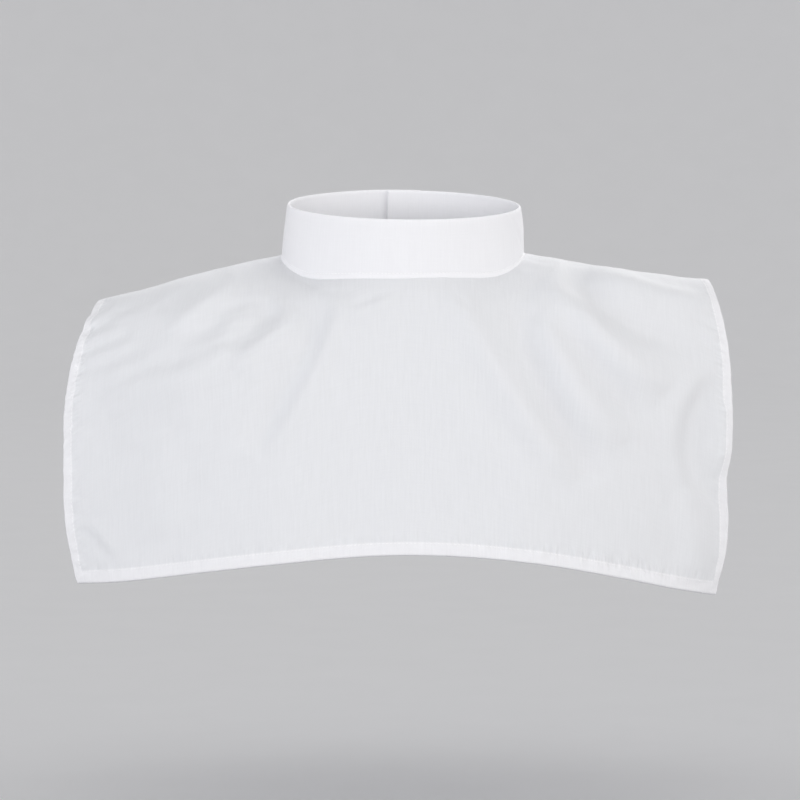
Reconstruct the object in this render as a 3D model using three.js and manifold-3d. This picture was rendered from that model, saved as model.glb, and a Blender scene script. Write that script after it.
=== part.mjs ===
// A collared amice as it is worn: one rectangular white cloth with turned hems, laid over both
// shoulders, and a round standing collar band sewn to its neck opening and buttoned at the back.
// Millimetres, +Z up. The origin is the middle of the neck opening at the height of the collar
// seam's sides, the front of the garment faces -Y and its wearer's left shoulder is at +X.
import * as THREE from 'three';
import { mergeVertices } from 'three/addons/utils/BufferGeometryUtils.js';
import Module from 'manifold-3d';

const wasm = await Module();
wasm.setup();

// Cloth
const CLOTH_WALL = 1.2;
const HEM_WALL = 2.3;
const SIDE_HEM = 7;
const BOTTOM_HEM = 8.3;
const HEM_STEP = 1.2;
const COLUMNS_ACROSS = 42;
const ROWS_PER_SIDE = 19;

// Collar band: outer half widths at the seam and at the rim
const SEAM_HALF_WIDTH = 83.5;
const SEAM_HALF_DEPTH = 75;
const RIM_HALF_WIDTH = 80.2;
const RIM_HALF_DEPTH = 73;
const RIM_SHIFT = 0.6;
const RIM_HEIGHT = 34.8;
const RIM_TILT = 0.125;
const RIM_LEAN = -0.0125;
const BAND_WALL = 1.9;
const SEAM_RIDGE = 0.5;
const SEAM_RIDGE_HEIGHT = 2.4;
const BAND_OVERLAP = 24;
const OVERLAP_GAP = 0.4;
const OVERLAP_RISE = 45;
const LAP_OUT = BAND_WALL + SEAM_RIDGE + OVERLAP_GAP;
const BAND_STEPS = 104;

// Opening at the middle of the back
const SLIT_WIDTH = 1.2;
const SLIT_BOTTOM = -104;
const CUTTER_TOP = 60;
const CUTTER_DEPTH = 120;
const NECK_CUTTER_HEIGHT = 140;
const NECK_SIDES = 96;

// Button
const BUTTON_RADIUS = 5.75;
const BUTTON_WALL = 2.5;
const BUTTON_RIM = 1;
const BUTTON_DISH = 0.7;
const BUTTON_RISE = 0.52;
const BUTTON_HOLE = 1.7;
const BUTTON_HOLE_SPACING = 2.6;

const CLEARANCE = 0.3;
const PATH_STEP = 2;
const PATH_LENGTH = 340;
const SEAM_TURNS = 6;

// One row per section of the cloth from its right edge to its left one. The crest is the line over
// the shoulders; from there each section rolls over and falls to the front and to the back hem.
// roll is the reach of the bend over the shoulder, ease its sharpness, fall its angle below the
// horizon in degrees and more the angle that each further 200 mm adds.
const SECTION_COLUMNS = [
  'across', 'crestX', 'crestY', 'crestZ', 'chestX', 'hemX', 'hemReach',
  'frontRoll', 'frontEase', 'frontFall', 'frontMore', 'frontHemZ',
  'backRoll', 'backEase', 'backFall', 'backMore', 'backHemZ',
];
const SECTIONS = [
  [-240, -210, 4, -32, -228.5, -220, 60, 40, 1.3, 76, 14, -219.8, 44, 1.3, 76, 12, -232],
  [-200, -180, 5, -24, -194, -191, 60, 60, 1.7, 79, 6, -215.7, 62, 1.6, 77.5, 7, -230],
  [-150, -139, 7, -12.7, -147, -146.5, 60, 84, 2, 76, 8, -208.3, 78, 1.8, 77.5, 6, -227],
  [-84, -84, 12, -0.4, -83.5, -84, 60, 104, 1.75, 75, 8, -199.2, 86, 2.1, 75, 6, -224],
  [0, 0, 18, 14, 0, 0, 60, 102, 2.6, 69.5, 8, -192.4, 90, 2.2, 77, 6, -222],
  [84, 84, 12, 1.2, 83.5, 84, 80, 104, 1.75, 75, 8, -198.2, 86, 2.1, 75, 6, -224],
  [150, 139, 7, -8.3, 147, 144.5, 100, 84, 2, 76, 8, -210.3, 78, 1.8, 77.5, 6, -227],
  [200, 180, 5, -13.8, 190, 184, 120, 60, 1.7, 79, 6, -220.6, 62, 1.6, 77.5, 7, -230],
  [240, 210, 4, -17, 222.3, 211.5, 130, 40, 1.3, 76, 14, -228.5, 44, 1.3, 76, 12, -232],
];
const SHOULDER_REACH = 56;
const SHOULDER_EASE = 1.9;

// The cloth sinks beside the two front corners of the collar
const DIP_X = 62;
const DIP_Y = -40;
const DIP_REACH = 36;
const DIP_DEPTH = 7;

// One row per fold, as seen from the front: it runs between two points, bows to one side by up to
// bow, and stands out (or, below zero, lies in) by height. face is -1 in front and 1 at the back.
const FOLD_COLUMNS = ['face', 'fromX', 'fromZ', 'toX', 'toZ', 'bow', 'width', 'height'];
const FOLDS = [
  [-1, 108, -4, 203, -64, 7, 11, -4],
  [-1, 93, -16, 176, -89, 2, 11, 3],
  [-1, 124, -9, 208, -32, 1, 9, 2.2],
  [-1, 105, -31, 161, -110, 3, 10, -2],
  [-1, 90, -35, 145, -123, 5, 10, 2],
  [-1, 73, -25, 130, -149, 5, 11, -2.4],
  [-1, 30, -18, 114, -146, 4, 11, 2.4],
  [-1, -41, -28, -91, -130, -5, 8, 1.8],
  [-1, -51, -28, -101, -127, -5, 9, -2.6],
  [-1, -70, -33, -111, -76, -2, 9, 1.4],
  [-1, -88, -30, -118, -62, -1, 10, -1.8],
  [-1, -62, -53, -198, -101, -4, 17, 2],
  [-1, -117, -10, -171, -29, -1, 9, -1.4],
  [-1, 206, -77, 197, -164, 19, 9, 1.8],
  [-1, 215, -81, 206, -163, 13, 9, -3],
  [-1, 214, -96, 215, -147, 0, 9, 2],
  [1, -70, -12, -150, -100, 6, 15, -2],
  [1, 74, -12, 158, -96, -6, 15, -2.2],
  [1, -34, -70, -40, -196, 4, 17, -1.6],
  [1, 58, -90, 64, -204, -4, 17, 1.6],
];
const SEAM_FADE = 12;
const CREST_FADE = 14;

// The waves of the hanging side edges, in and out sideways
const EDGE_WAVE_COLUMNS = ['side', 'middleZ', 'reach', 'shift'];
const EDGE_WAVES = [
  [1, -148, 16, -2.4],
  [1, -176, 14, 1.8],
  [-1, -112, 30, 1],
];
const EDGE_WAVE_DEPTH = 30;

const clothMaterial = new THREE.MeshStandardMaterial({ color: '#e9e9ee', roughness: 0.9, metalness: 0 });
const bandMaterial = new THREE.MeshStandardMaterial({ color: '#f1f1f3', roughness: 0.85, metalness: 0 });
const buttonMaterial = new THREE.MeshStandardMaterial({ color: '#f4f3ef', roughness: 0.3, metalness: 0 });

const named = (columns, rows) =>
  rows.map((row) => Object.fromEntries(columns.map((column, i) => [column, row[i]])));
const sections = named(SECTION_COLUMNS, SECTIONS);
const folds = named(FOLD_COLUMNS, FOLDS);
const edgeWaves = named(EDGE_WAVE_COLUMNS, EDGE_WAVES);
const clothHalfWidth = sections.at(-1).across;

const clamp01 = (value) => THREE.MathUtils.clamp(value, 0, 1);
const bell = (distance, width) => Math.exp(-((distance / width) ** 2));

// The slope of a column at one row, from its neighbours
function slopeAt(index, column) {
  const step = (i) => (sections[i + 1][column] - sections[i][column]) / span(i);
  const span = (i) => sections[i + 1].across - sections[i].across;
  if (index === 0) return step(0);
  if (index === sections.length - 1) return step(index - 1);
  const before = span(index - 1);
  const after = span(index);
  return (step(index) * before + step(index - 1) * after) / (before + after);
}

// A smooth curve through the rows of the section table
function columnAt(column, across) {
  const last = sections.length - 2;
  const found = sections.findIndex((row) => row.across > across) - 1;
  const i = THREE.MathUtils.clamp(found < 0 && across > 0 ? last : found, 0, last);
  const width = sections[i + 1].across - sections[i].across;
  const t = (across - sections[i].across) / width;
  const start = sections[i][column];
  const end = sections[i + 1][column];
  return (
    start * (2 * t ** 3 - 3 * t ** 2 + 1) +
    end * (3 * t ** 2 - 2 * t ** 3) +
    width * slopeAt(i, column) * (t ** 3 - 2 * t ** 2 + t) +
    width * slopeAt(i + 1, column) * (t ** 3 - t ** 2)
  );
}

// One section's path down one side of the crest, as points every PATH_STEP, and its length
function sidePath(across, face) {
  const at = (column) => columnAt(column, across);
  const side = (column) => at((face < 0 ? 'front' : 'back') + column);
  const fall = THREE.MathUtils.degToRad(side('Fall'));
  const more = THREE.MathUtils.degToRad(side('More')) / 200;
  const roll = side('Roll');
  const ease = side('Ease');
  const angle = (s) => fall * (1 - Math.exp(-((s / roll) ** ease))) + more * s;
  const points = [{ y: at('crestY'), z: at('crestZ') }];
  for (let s = PATH_STEP / 2; s < PATH_LENGTH; s += PATH_STEP) {
    const { y, z } = points.at(-1);
    const a = angle(s);
    points.push({ y: y + face * PATH_STEP * Math.cos(a), z: z - PATH_STEP * Math.sin(a) });
  }
  const hemZ = side('HemZ');
  const below = points.findIndex(({ z }) => z < hemZ);
  const rest = (points[below - 1].z - hemZ) / (points[below - 1].z - points[below].z);
  return { points, length: (below - 1 + rest) * PATH_STEP };
}

const pathCache = new Map();
function pathAt(across, face) {
  const key = `${across} ${face}`;
  if (!pathCache.has(key)) pathCache.set(key, sidePath(across, face));
  return pathCache.get(key);
}

function foldHeight(face, x, z) {
  let sum = 0;
  for (const fold of folds) {
    if (fold.face !== face) continue;
    const run = new THREE.Vector2(fold.toX - fold.fromX, fold.toZ - fold.fromZ);
    const length = run.length();
    run.divideScalar(length);
    const dx = x - fold.fromX;
    const dz = z - fold.fromZ;
    const t = clamp01((dx * run.x + dz * run.y) / length);
    const sideways = dx * run.y - dz * run.x - fold.bow * 4 * t * (1 - t);
    const beyond = dx * run.x + dz * run.y - t * length;
    const taper = 1 - Math.abs(2 * t - 1) ** 4;
    sum += fold.height * taper * bell(Math.hypot(sideways, beyond), fold.width);
  }
  return sum;
}

// The outer surface before folds: along is the distance from the crest, below zero in front
function smoothPoint(across, along) {
  const face = along < 0 ? -1 : 1;
  const s = Math.abs(along);
  const { points, length } = pathAt(across, face);
  const i = Math.min(Math.floor(s / PATH_STEP), points.length - 2);
  const t = s / PATH_STEP - i;
  const y = THREE.MathUtils.lerp(points[i].y, points[i + 1].y, t);
  const z = THREE.MathUtils.lerp(points[i].z, points[i + 1].z, t);
  const crestX = columnAt('crestX', across);
  const chestX = columnAt('chestX', across);
  const reach = columnAt('hemReach', across);
  const outward = 1 - Math.exp(-((s / SHOULDER_REACH) ** SHOULDER_EASE));
  const inward = clamp01((s - length + reach) / reach) ** 2;
  const pull = face < 0 ? columnAt('hemX', across) - chestX : 0;
  const x = crestX + (chestX - crestX) * outward + pull * inward;
  const dip = DIP_DEPTH * bell(Math.hypot(Math.abs(x) - DIP_X, y - DIP_Y), DIP_REACH);
  return new THREE.Vector3(x, y, z - dip);
}

// The outer surface with its folds and edge waves
function clothPoint(across, along) {
  const point = smoothPoint(across, along);
  const delta = 1;
  const alongside = smoothPoint(across + (across > 0 ? -delta : delta), along).sub(point);
  const onward = smoothPoint(across, along + delta).sub(smoothPoint(across, along - delta));
  const normal = alongside.cross(onward).normalize();
  if (across > 0) normal.negate();
  const fromSeam = Math.hypot(point.x / SEAM_HALF_WIDTH, point.y / SEAM_HALF_DEPTH) - 1;
  const fade = clamp01((fromSeam * SEAM_HALF_DEPTH) / SEAM_FADE) * clamp01(Math.abs(along) / CREST_FADE);
  const face = along < 0 ? -1 : 1;
  point.addScaledVector(normal, fade * foldHeight(face, point.x, point.z));
  for (const wave of edgeWaves) {
    const inside = clothHalfWidth - across * wave.side;
    const depth = bell(inside, EDGE_WAVE_DEPTH);
    if (face < 0) point.x += wave.side * wave.shift * depth * bell(point.z - wave.middleZ, wave.reach);
  }
  return point;
}

// The height of the cloth's outer surface over one point of the plan, near the neck
function clothTop(x, y) {
  let across = x;
  let along = y - columnAt('crestY', x);
  let point = clothPoint(across, along);
  for (let turn = 0; turn < SEAM_TURNS; turn++) {
    across += x - point.x;
    along += y - point.y;
    point = clothPoint(across, along);
  }
  return point.z;
}

function solidOf(geometry) {
  const bare = geometry.clone();
  bare.deleteAttribute('normal');
  bare.deleteAttribute('uv');
  const merged = mergeVertices(bare, 1e-4);
  return new wasm.Manifold(new wasm.Mesh({
    numProp: 3,
    vertProperties: new Float32Array(merged.attributes.position.array),
    triVerts: new Uint32Array(merged.index.array),
  }));
}

function geometryOf(solid) {
  const mesh = solid.getMesh();
  const geometry = new THREE.BufferGeometry();
  geometry.setAttribute('position', new THREE.BufferAttribute(mesh.vertProperties, 3));
  geometry.setIndex(new THREE.BufferAttribute(mesh.triVerts, 1));
  geometry.computeVertexNormals();
  return geometry;
}

function gridGeometry(grid, flip) {
  const width = grid[0].length;
  const geometry = new THREE.BufferGeometry().setFromPoints(grid.flat());
  const faces = [];
  for (let row = 0; row < grid.length - 1; row++) {
    for (let column = 0; column < width - 1; column++) {
      const a = row * width + column;
      const corners = [a, a + 1, a + width + 1, a + width];
      const [p, q, r, s] = flip ? corners.reverse() : corners;
      faces.push(p, q, r, p, r, s);
    }
  }
  geometry.setIndex(faces);
  return geometry;
}

// Stations from the crest to one edge, with a step where the turned hem begins
function stations(length, hem, steps) {
  const field = length - hem - HEM_STEP;
  const list = Array.from({ length: steps + 1 }, (_, i) => (field * i) / steps);
  return [...list, length - hem, length];
}

function bodyCloth() {
  const half = stations(clothHalfWidth, SIDE_HEM, COLUMNS_ACROSS / 2);
  const acrossList = [...half.slice(1).reverse().map((a) => -a), ...half];
  const outer = [];
  const walls = [];
  acrossList.forEach((across, column) => {
    const side = (face) => stations(pathAt(across, face).length, BOTTOM_HEM, ROWS_PER_SIDE);
    const alongList = [...side(-1).slice(1).reverse().map((s) => -s), ...side(1)];
    outer.push(alongList.map((along) => clothPoint(across, along)));
    const inHem = (index, count) => index < 2 || index > count - 3;
    walls.push(alongList.map((_, row) =>
      inHem(column, acrossList.length) || inHem(row, alongList.length) ? HEM_WALL : CLOTH_WALL));
  });
  const outside = gridGeometry(outer, true);
  outside.computeVertexNormals();
  const normal = new THREE.Vector3();
  const inner = outer.map((line, column) => line.map((point, row) => {
    normal.fromBufferAttribute(outside.attributes.normal, column * line.length + row);
    return point.clone().addScaledVector(normal, -walls[column][row]);
  }));
  const rims = [
    gridGeometry([outer[0], inner[0]], false),
    gridGeometry([outer.at(-1), inner.at(-1)], true),
    gridGeometry([outer.map((line) => line[0]), inner.map((line) => line[0])], true),
    gridGeometry([outer.map((line) => line.at(-1)), inner.map((line) => line.at(-1))], false),
  ];
  const shell = joined([outside, gridGeometry(inner, false), ...rims]);
  return geometryOf(solidOf(shell).subtract(neckCutter()).subtract(slitCutter()));
}

function joined(parts) {
  const positions = [];
  const faces = [];
  for (const part of parts) {
    const first = positions.length / 3;
    positions.push(...part.attributes.position.array);
    faces.push(...Array.from(part.index.array, (i) => i + first));
  }
  const geometry = new THREE.BufferGeometry();
  geometry.setAttribute('position', new THREE.Float32BufferAttribute(positions, 3));
  geometry.setIndex(faces);
  return geometry;
}

// The neck opening ends flush with the inside of the band that stands on its edge
function neckCutter() {
  const cutter = new THREE.CylinderGeometry(1, 1, NECK_CUTTER_HEIGHT, NECK_SIDES).rotateX(Math.PI / 2);
  cutter.scale(SEAM_HALF_WIDTH - BAND_WALL, SEAM_HALF_DEPTH - BAND_WALL, 1);
  return solidOf(cutter);
}

function slitCutter() {
  const cutter = new THREE.BoxGeometry(SLIT_WIDTH, CUTTER_DEPTH, CUTTER_TOP - SLIT_BOTTOM);
  cutter.translate(0, SEAM_HALF_DEPTH / 2 + CUTTER_DEPTH / 2, (CUTTER_TOP + SLIT_BOTTOM) / 2);
  return solidOf(cutter);
}

// A point of the band: turn is the angle round from the middle of the back, rise goes from 0 at the
// seam to 1 at the rim, and out is the distance outside the band's own outer face
function bandPoint(turn, rise, out) {
  const halfWidth = THREE.MathUtils.lerp(SEAM_HALF_WIDTH, RIM_HALF_WIDTH, rise) + out;
  const halfDepth = THREE.MathUtils.lerp(SEAM_HALF_DEPTH, RIM_HALF_DEPTH, rise) + out;
  const x = RIM_SHIFT * rise + halfWidth * Math.sin(turn);
  const y = halfDepth * Math.cos(turn);
  const seam = clothTop(x, y) + CLEARANCE;
  const rim = RIM_HEIGHT + RIM_TILT * y + RIM_LEAN * x;
  return new THREE.Vector3(x, y, THREE.MathUtils.lerp(seam, rim, rise));
}

function collarBand() {
  const overlapTurn = BAND_OVERLAP / SEAM_HALF_WIDTH;
  const first = -overlapTurn / 2;
  const last = 2 * Math.PI + overlapTurn / 2;
  const riseTurn = OVERLAP_RISE / SEAM_HALF_WIDTH;
  const ridgeRise = SEAM_RIDGE_HEIGHT / RIM_HEIGHT;
  const profile = [
    [0, SEAM_RIDGE], [ridgeRise, SEAM_RIDGE], [ridgeRise * 1.5, 0], [0.5, 0], [0.97, 0], [1, -0.5],
    [1, 0.5 - BAND_WALL], [0.97, -BAND_WALL], [0.5, -BAND_WALL], [0, -BAND_WALL],
  ];
  const rings = [];
  for (let step = 0; step <= BAND_STEPS; step++) {
    const turn = THREE.MathUtils.lerp(first, last, step / BAND_STEPS);
    const lap = THREE.MathUtils.smoothstep(turn, 2 * Math.PI + first - riseTurn, 2 * Math.PI + first);
    rings.push(profile.map(([rise, beside]) => bandPoint(turn, rise, lap * LAP_OUT + beside)));
  }
  const closedRings = rings.map((ring) => [...ring, ring[0]]);
  const ends = [capGeometry(rings[0], true), capGeometry(rings.at(-1), false)];
  return geometryOf(solidOf(joined([gridGeometry(closedRings, false), ...ends])));
}

// A flat end of the band, as strips between its outer and its inner points
function capGeometry(ring, flip) {
  const half = ring.length / 2;
  const outer = ring.slice(0, half);
  const inner = ring.slice(half).reverse();
  return gridGeometry([outer, inner], flip);
}

// A plain four-hole button that lies on the lapped end, its flat back towards the band
function collarButton() {
  const edge = 0.4;
  const profile = [
    [0, 0], [BUTTON_RADIUS - edge, 0], [BUTTON_RADIUS, edge], [BUTTON_RADIUS, BUTTON_WALL - edge],
    [BUTTON_RADIUS - edge, BUTTON_WALL], [BUTTON_RADIUS - BUTTON_RIM, BUTTON_WALL],
    [BUTTON_RADIUS - BUTTON_RIM - edge, BUTTON_WALL - BUTTON_DISH], [0, BUTTON_WALL - BUTTON_DISH],
  ].map(([radius, height]) => new THREE.Vector2(radius, height));
  let solid = solidOf(new THREE.LatheGeometry(profile, 36));
  for (const [sideX, sideZ] of [[-1, -1], [-1, 1], [1, -1], [1, 1]]) {
    const hole = new THREE.CylinderGeometry(BUTTON_HOLE / 2, BUTTON_HOLE / 2, 4 * BUTTON_WALL, 14);
    hole.translate((sideX * BUTTON_HOLE_SPACING) / 2, 0, (sideZ * BUTTON_HOLE_SPACING) / 2);
    solid = solid.subtract(solidOf(hole));
  }
  return geometryOf(solid);
}

const amice = new THREE.Group();

const body = new THREE.Mesh(bodyCloth(), clothMaterial);
body.name = 'body_cloth';
amice.add(body);

const band = new THREE.Mesh(collarBand(), bandMaterial);
band.name = 'collar_band';
amice.add(band);

// The button leans back with the band, whose rim is narrower than its seam
const lapSeam = bandPoint(0, 0, LAP_OUT);
const lapRim = bandPoint(0, 1, LAP_OUT);
const lean = Math.atan2(lapSeam.y - lapRim.y, lapRim.z - lapSeam.z);
const button = new THREE.Mesh(collarButton(), buttonMaterial);
button.name = 'collar_button';
button.rotation.x = lean;
button.position.copy(bandPoint(0, BUTTON_RISE, LAP_OUT));
button.translateY(CLEARANCE);
amice.add(button);

export default amice;
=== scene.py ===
"""A collared amice as it is worn: a white cloth over both shoulders, with a standing collar band.

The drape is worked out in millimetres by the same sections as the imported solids, and made in metres.
Across runs over the cloth from its right edge to its left one. Along runs from the crest of the shoulders,
below zero down the front and above zero down the back.
"""
import math

import bmesh
import bpy
import numpy as np
from bpy.props import FloatProperty, FloatVectorProperty, IntProperty, PointerProperty
from mathutils import Matrix, Vector


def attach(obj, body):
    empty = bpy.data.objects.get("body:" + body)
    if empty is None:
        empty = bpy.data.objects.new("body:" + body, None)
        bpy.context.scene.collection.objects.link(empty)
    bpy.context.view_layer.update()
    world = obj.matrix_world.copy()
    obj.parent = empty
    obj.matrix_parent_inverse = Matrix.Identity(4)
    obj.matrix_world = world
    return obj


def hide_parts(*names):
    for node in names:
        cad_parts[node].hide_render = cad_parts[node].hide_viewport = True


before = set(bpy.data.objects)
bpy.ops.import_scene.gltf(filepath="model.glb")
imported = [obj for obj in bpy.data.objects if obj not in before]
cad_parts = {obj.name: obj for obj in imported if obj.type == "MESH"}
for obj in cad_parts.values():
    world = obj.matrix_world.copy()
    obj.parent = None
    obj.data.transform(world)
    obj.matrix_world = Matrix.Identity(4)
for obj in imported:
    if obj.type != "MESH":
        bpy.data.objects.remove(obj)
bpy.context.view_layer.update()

bl_info = {
    "name": "Collared Amice",
    "version": (1, 0, 0),
    "blender": (4, 5, 0),
    "location": "View3D > Sidebar > Amice",
    "description": "Builds a white collared amice as it is worn, with its stage and camera",
    "category": "Object",
}

MM = 0.001

# The photo's camera, in millimetres and degrees, and its picture, in pixels
AIM = (-2.0, 0.0, -100.0)
CAMERA_DISTANCE = 2400.0
CAMERA_RISE = 4.0
MM_PER_PIXEL = 0.69
PICTURE_WIDTH = 800
SENSOR_WIDTH = 36.0

# The cloth's sections, as the solids have them
SECTION_COLUMNS = (
    "across", "crest_x", "crest_y", "crest_z", "chest_x", "hem_x", "hem_reach",
    "front_roll", "front_ease", "front_fall", "front_more", "front_hem_z",
    "back_roll", "back_ease", "back_fall", "back_more", "back_hem_z",
)
SECTIONS = np.array([
    (-240, -210, 4, -32, -228.5, -220, 60, 40, 1.3, 76, 14, -219.8, 44, 1.3, 76, 12, -232),
    (-200, -180, 5, -24, -194, -191, 60, 60, 1.7, 79, 6, -215.7, 62, 1.6, 77.5, 7, -230),
    (-150, -139, 7, -12.7, -147, -146.5, 60, 84, 2, 76, 8, -208.3, 78, 1.8, 77.5, 6, -227),
    (-84, -84, 12, -0.4, -83.5, -84, 60, 104, 1.75, 75, 8, -199.2, 86, 2.1, 75, 6, -224),
    (0, 0, 18, 14, 0, 0, 60, 102, 2.6, 69.5, 8, -192.4, 90, 2.2, 77, 6, -222),
    (84, 84, 12, 1.2, 83.5, 84, 80, 104, 1.75, 75, 8, -198.2, 86, 2.1, 75, 6, -224),
    (150, 139, 7, -8.3, 147, 144.5, 100, 84, 2, 76, 8, -210.3, 78, 1.8, 77.5, 6, -227),
    (200, 180, 5, -13.8, 190, 184, 120, 60, 1.7, 79, 6, -220.6, 62, 1.6, 77.5, 7, -230),
    (240, 210, 4, -17, 222.3, 211.5, 130, 40, 1.3, 76, 14, -228.5, 44, 1.3, 76, 12, -232),
], float)
HALF_ACROSS = 240.0
SHOULDER_REACH = 56.0
SHOULDER_EASE = 1.9

# The two hollows in front, beside the neck seam, where the cloth dips
DIP_X = 62.0
DIP_Y = -40.0
DIP_REACH = 36.0
DIP_DEPTH = 7.0

# Steps in which the length of a section is summed, and those over which slopes are taken, in millimetres
QUADRATURE = 40
SLOPE_STEP = 0.8
STITCH_SLOPE_STEP = 0.6

# The front's folds as the photo shows them: the ends, the bow to the right and the width in its pixels, and
# the height in millimetres. A dark band there is the flank between a valley above it and a ridge below it.
FRONT_FOLDS = (
    # right shoulder of the picture, from the crest down
    (588, 262, 706, 289, -2, 7, -1.4),
    (588, 267, 710, 306, -3, 12, 3.8),
    (560, 262, 704, 353, -10, 16, -6.2),
    (540, 280, 666, 392, -3, 15, 5.0),
    (560, 305, 645, 425, -4, 14, -4.7),
    (538, 310, 622, 445, -8, 15, 4.5),
    (512, 295, 600, 485, -8, 15, -5.6),
    (448, 285, 575, 482, -6, 16, 5.1),
    (447, 283, 470, 310, -1, 5, -1.0),
    # the puffed lens at the right edge and the turned-away corner below it
    (706, 368, 695, 506, -29, 13, 2.6),
    (722, 372, 708, 504, -21, 14, -4.4),
    (722, 398, 722, 478, 0, 9, 3.0),
    (684, 488, 690, 584, 0, 12, 3.2),
    (724, 458, 718, 650, 0, 16, -3.6),
    (722, 492, 718, 650, 0, 15, -3.2),
    (690, 316, 717, 329, 0, 4, -0.9),
    (697, 333, 719, 358, 0, 4, -1.0),
    (700, 322, 719, 341, 0, 4, 0.6),
    # the long crisp fold left of the middle
    (342, 300, 264, 458, 7, 9, 2.9),
    (323, 300, 247, 452, 7, 15, -4.6),
    # left shoulder of the picture, from the crest down
    (228, 268, 154, 310, 1, 8, -1.9),
    (242, 274, 162, 332, 2, 7, 2.1),
    (252, 292, 174, 348, 1, 9, -1.8),
    (264, 312, 178, 358, 2, 11, 1.9),
    (168, 287, 98, 320, 2, 5, -1.5),
    (276, 302, 222, 352, 2, 14, -3.1),
    (298, 308, 236, 374, 3, 13, 2.8),
    (226, 328, 160, 372, 2, 13, -2.3),
    (238, 342, 166, 390, 2, 12, 1.9),
    (312, 334, 104, 404, 6, 28, 5.4),
    # the drawn hem at the left edge
    (114, 301, 84, 316, 0, 4, -1.1),
    (116, 310, 82, 326, 0, 4, 0.9),
    (112, 319, 80, 334, 0, 4, -1.0),
    (124, 326, 79, 344, 0, 4, 1.0),
    (134, 330, 78, 353, 1, 4, -1.1),
    (138, 341, 78, 362, 1, 4, 0.9),
    (150, 343, 78, 371, 2, 5, -1.1),
    (162, 350, 82, 383, 2, 5, 0.9),
    (166, 360, 84, 398, 2, 6, -0.9),
    # the lower left corner
    (150, 430, 160, 540, 6, 20, 1.5),
    (78, 528, 108, 560, 2, 6, -1.2),
    (86, 520, 118, 556, 2, 6, 0.9),
    (144, 542, 140, 562, 0, 5, -0.5),
    # small creases under the collar and on the chest
    (392, 288, 350, 306, 1, 4, -1.0),
    (396, 294, 352, 312, 1, 5, 0.9),
    (322, 289, 352, 292, -1, 4, -0.8),
    (283, 268, 319, 287, 1, 5, -2.6),
    (360, 330, 338, 337, 0, 4, -0.5),
    (371, 515, 330, 542, 2, 8, -0.8),
    (392, 440, 386, 455, 0, 4, -0.4),
)

# The back's folds, which the photo doesn't show: the same columns, in millimetres from the neck's middle
BACK_FOLDS = (
    (-70, 12, -150, 100, 6, 16, -5.0),
    (-58, 22, -118, 132, 6, 13, 3.2),
    (74, 12, 158, 96, -6, 16, -5.4),
    (56, 24, 122, 140, -6, 13, 3.4),
    (-30, 40, -64, 206, 6, 17, -3.8),
    (34, 44, 74, 204, -6, 17, -3.4),
    (-22, 6, -40, 44, 2, 5, -0.9),
    (20, 6, 44, 46, -2, 5, -0.9),
    (-96, 14, -128, 60, 2, 6, 1.2),
    (104, 12, 142, 64, -2, 6, 1.2),
    (-120, 20, -176, 84, 4, 9, 2.3),
    (122, 22, 180, 92, -4, 9, 2.5),
    (196, 60, 208, 130, 6, 8, -1.9),
    (-200, 70, -212, 150, -6, 8, -1.9),
)

# How far from the neck seam and from the crest the folds reach their full height
SEAM_FADE = 12.0
CREST_FADE = 14.0

# Where the front's side edges swing out or in: the side, the middle's height, its reach and the swing
EDGE_WAVES = (
    (1, -148, 16, -1.5),
    (1, -176, 14, 1.8),
    (1, -200, 24, 6.2),
    (1, -232, 16, 2.8),
    (-1, -112, 30, 1.0),
)
EDGE_WAVE_DEPTH = 30.0

# Layers of the cloth's own unevenness: height, patch size across and along, and seed
RUMPLES = (
    (0.55, 34, 60, 1),
    (0.26, 15, 26, 7),
    (0.10, 7, 12, 4),
)

# Heights of the creases at the neck, of the ripples along the hems and of the puckers round the neck seam
NECK_CREASE = 0.95
SIDE_RIPPLE = 2.0
BOTTOM_RIPPLE = 1.5
SEAM_PUCKER = 0.7

# Their patches: size from one to the next and along each, and seed; round the neck the first is in degrees
CREASE_PATCH = (5.5, 46, 13)
FINE_CREASE_PATCH = (2.6, 27, 17)
SIDE_RIPPLE_PATCH = (5.5, 26, 11)
BOTTOM_RIPPLE_PATCH = (4.6, 24, 23)
SEAM_PUCKER_PATCH = (7.5, 10, 31)

# A turned hem stands proud of the cloth, and its stitches lie in a groove this far inside its inner edge
HEM_STAND = 0.28
STITCH_GROOVE = 0.3
STITCH_INSET = 0.9

# The length of a stitch as a share of its pitch, and the bulge of the cloth's edges as a share of its wall
STITCH_SHARE = 0.78
EDGE_BULGE = 0.45

# The neck seam and the band, as the solids have them
SEAM_HALF_WIDTH = 83.5
SEAM_HALF_DEPTH = 75.0
RIM_HALF_WIDTH = 80.2
RIM_HALF_DEPTH = 73.0
RIM_SHIFT = 0.6
RIM_HEIGHT = 34.8
RIM_TILT = 0.125
RIM_LEAN = -0.0125
BAND_HEIGHT = 39.0
BAND_WALL = 1.9
SEAM_RIDGE = 0.5
SEAM_SINK = 0.5
BAND_OVERLAP = 24.0
OVERLAP_GAP = 0.4
OVERLAP_RISE = 45.0
LAP_OUT = BAND_WALL + SEAM_RIDGE + OVERLAP_GAP

# The slit at the middle of the back, and the button's height as a share of the band's
SLIT_HALF = 0.6
SLIT_BOTTOM = -104.0
SLIT_HEM = 5.0
BUTTON_RISE = 0.52

# The mesh of the cloth: lines beside a hem's inner edge, the even field's margin inside it, the runs that the
# rows of the front and the back are counted over, and the height of those rows in mesh steps
HEM_LINES = (1.2, 0.4, -0.4, -1.2)
FIELD_MARGIN = 2.6
FRONT_RUN = 280
BACK_RUN = 290
FRONT_ROW = 0.96
BACK_ROW = 1.25

# The neck opening is looked for this near the middle, and above this height
NECK_REACH = 130
NECK_FLOOR = -60

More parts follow.
